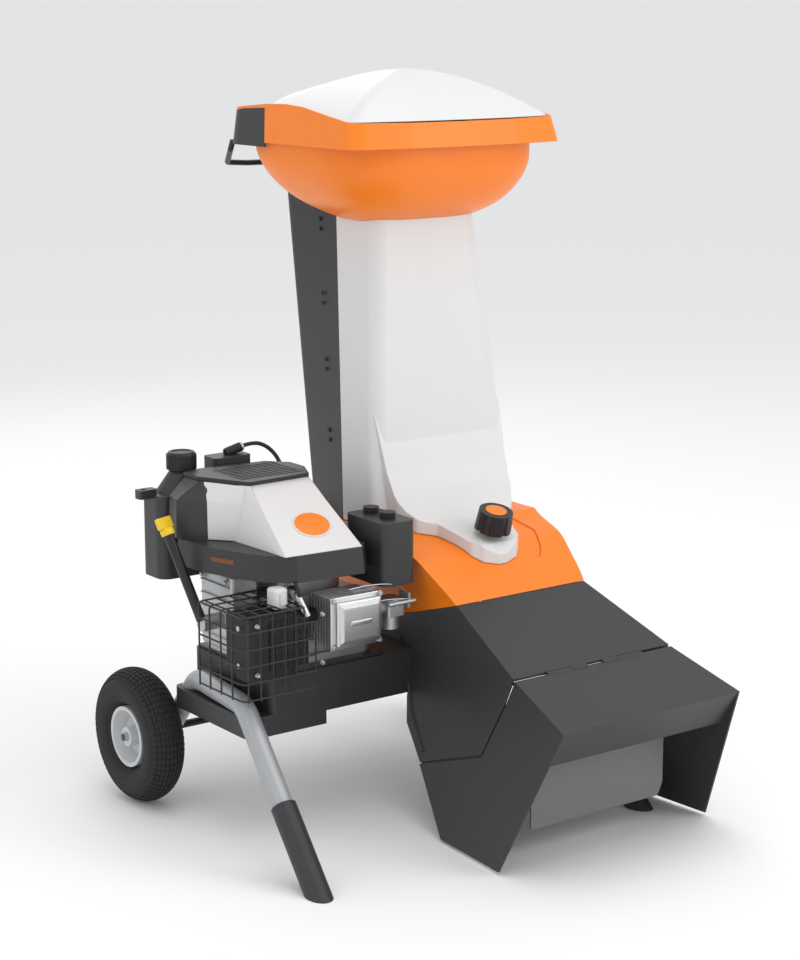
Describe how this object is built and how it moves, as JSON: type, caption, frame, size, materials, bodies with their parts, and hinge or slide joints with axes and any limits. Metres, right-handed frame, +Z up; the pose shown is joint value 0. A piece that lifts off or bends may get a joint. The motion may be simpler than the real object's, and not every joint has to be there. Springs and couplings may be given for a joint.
{
  "type": "petrol garden chipper",
  "caption": "Wheeled petrol wood chipper: tilting feed tower with covered hopper, belt-driven blade rotor, side engine and a fold-up discharge hood.",
  "frame": {"origin": "on the ground, midway between the wheels and midway along the machine", "axes": "+Z up, -Y towards the discharge hood, +X towards the feed tower and away from the engine"},
  "size_m": [0.924, 1.14, 1.4834],
  "materials": {
    "tyre_rubber": "matte black rubber",
    "rim_paint": "light grey paint",
    "black_steel": "black powder coat",
    "tube_paint": "silver-grey paint",
    "black_plastic": "textured black-grey",
    "dark_plastic": "textured dark grey",
    "engine_plastic": "textured dark grey",
    "black_moulding": "satin black",
    "orange_plastic": "satin orange",
    "white_plastic": "satin warm white",
    "flap_plastic": "matte mid grey",
    "bright_steel": "zinc plated or ground",
    "cast_iron": "as cast, machined faces",
    "cast_aluminium": "die cast",
    "polished_aluminium": "bright",
    "heat_black": "heat-resistant matte black",
    "belt_rubber": "matte",
    "black_rubber": "matte",
    "yellow_plastic": "satin yellow"
  },
  "bodies": {
    "chassis": {"air_filter_box": "engine_plastic", "axle": "black_steel", "base_cover": "orange_plastic", "bearing_housing": "cast_iron", "belt_cover": "black_steel", "carburettor": "cast_aluminium", "chute_body": "black_plastic", "cowl": "engine_plastic", "crankcase": "cast_aluminium", "cylinder": "cast_aluminium", "deck_housing": "black_plastic", "dipstick_tube": "black_moulding", "drive_belt": "belt_rubber", "engine_bolts": "bright_steel", "engine_plate": "black_steel", "feet": "black_plastic", "frame_bolts": "bright_steel", "fuel_tank": "engine_plastic", "left_frame_tube": "tube_paint", "muffler": "heat_black", "muffler_guard": "black_steel", "right_frame_tube": "tube_paint", "rotor_bearings": "bright_steel", "rotor_housing": "black_steel", "shroud_panel": "white_plastic", "spark_plug_boot": "bright_steel", "top_grille": "black_moulding", "tower_hinge": "bright_steel", "valve_cover": "polished_aluminium", "vent_box": "engine_plastic", "vent_hose": "black_rubber"},
    "left_wheel": {"left_tyre": "tyre_rubber", "left_rim": "rim_paint"},
    "right_wheel": {"right_tyre": "tyre_rubber", "right_rim": "rim_paint"},
    "tower": {"tower_front_shell": "white_plastic", "tower_rear_shell": "dark_plastic", "hopper_bowl": "orange_plastic", "hopper_skirt": "orange_plastic", "feed_frame": "dark_plastic", "hopper_dome": "white_plastic", "feed_curtain": "black_rubber", "transport_handle": "black_steel", "tower_screws": "black_steel"},
    "knob": {"lock_knob": "black_moulding", "lock_cap": "orange_plastic"},
    "hood": {"discharge_hood": "black_plastic", "hood_pins": "bright_steel"},
    "flap": {"deflector_flap": "flap_plastic"},
    "rotor": {"rotor_shaft": "bright_steel", "rotor_pulley": "cast_iron", "blade_disc": "bright_steel", "knives": "bright_steel"},
    "crank": {"crankshaft": "bright_steel", "engine_pulley": "cast_iron", "flywheel": "cast_aluminium"},
    "tank_cap": {"fuel_cap": "black_moulding"},
    "oil_dipstick": {"dipstick": "yellow_plastic"},
    "filter_knob_a": {"air_filter_knob_front": "black_moulding"},
    "filter_knob_b": {"air_filter_knob_rear": "black_moulding"}
  },
  "joints": [
    {"name": "left_wheel_spin", "type": "hinge", "parent": "chassis", "child": "left_wheel", "pos_m": [-0.421, 0.324, 0.14], "axis": [1, 0, 0], "continuous": true},
    {"name": "right_wheel_spin", "type": "hinge", "parent": "chassis", "child": "right_wheel", "pos_m": [0.421, 0.324, 0.14], "axis": [1, 0, 0], "continuous": true},
    {"name": "tower_tilt", "type": "hinge", "parent": "chassis", "child": "tower", "pos_m": [0.185, 0.362, 0.574], "axis": [-1, 0, 0], "range_deg": [0, 75]},
    {"name": "lock_knob_turn", "type": "hinge", "parent": "tower", "child": "knob", "pos_m": [0.185, -0.076, 0.562], "axis": [0, -0.27, 0.9629], "continuous": true},
    {"name": "hood_fold", "type": "hinge", "parent": "chassis", "child": "hood", "pos_m": [0.185, -0.396, 0.356], "axis": [-1, 0, 0], "range_deg": [0, 100]},
    {"name": "flap_swing", "type": "hinge", "parent": "hood", "child": "flap", "pos_m": [0.185, -0.414, 0.214], "axis": [-1, 0, 0], "range_deg": [-20, 45]},
    {"name": "rotor_spin", "type": "hinge", "parent": "chassis", "child": "rotor", "pos_m": [0.185, 0.205, 0.4], "axis": [0, 0, 1], "continuous": true},
    {"name": "crank_spin", "type": "hinge", "parent": "chassis", "child": "crank", "pos_m": [-0.18, 0.095, 0.4], "axis": [0, 0, 1], "continuous": true},
    {"name": "fuel_cap_turn", "type": "hinge", "parent": "chassis", "child": "tank_cap", "pos_m": [-0.32, 0.302, 0.7], "axis": [0, 0, 1], "range_deg": [0, 90]},
    {"name": "dipstick_pull", "type": "slide", "parent": "chassis", "child": "oil_dipstick", "axis": [-0.156, 0.4012, 0.9026], "range_m": [0, 0.2]},
    {"name": "filter_knob_a_turn", "type": "hinge", "parent": "chassis", "child": "filter_knob_a", "pos_m": [-0.054, -0.042, 0.61], "axis": [0, 0, 1], "range_deg": [0, 90]},
    {"name": "filter_knob_b_turn", "type": "hinge", "parent": "chassis", "child": "filter_knob_b", "pos_m": [-0.054, 0.014, 0.61], "axis": [0, 0, 1], "range_deg": [0, 90]}
  ],
  "couplings": [
    {"joint": "crank_spin", "follows": "rotor_spin", "ratio": 1.3778}
  ]
}
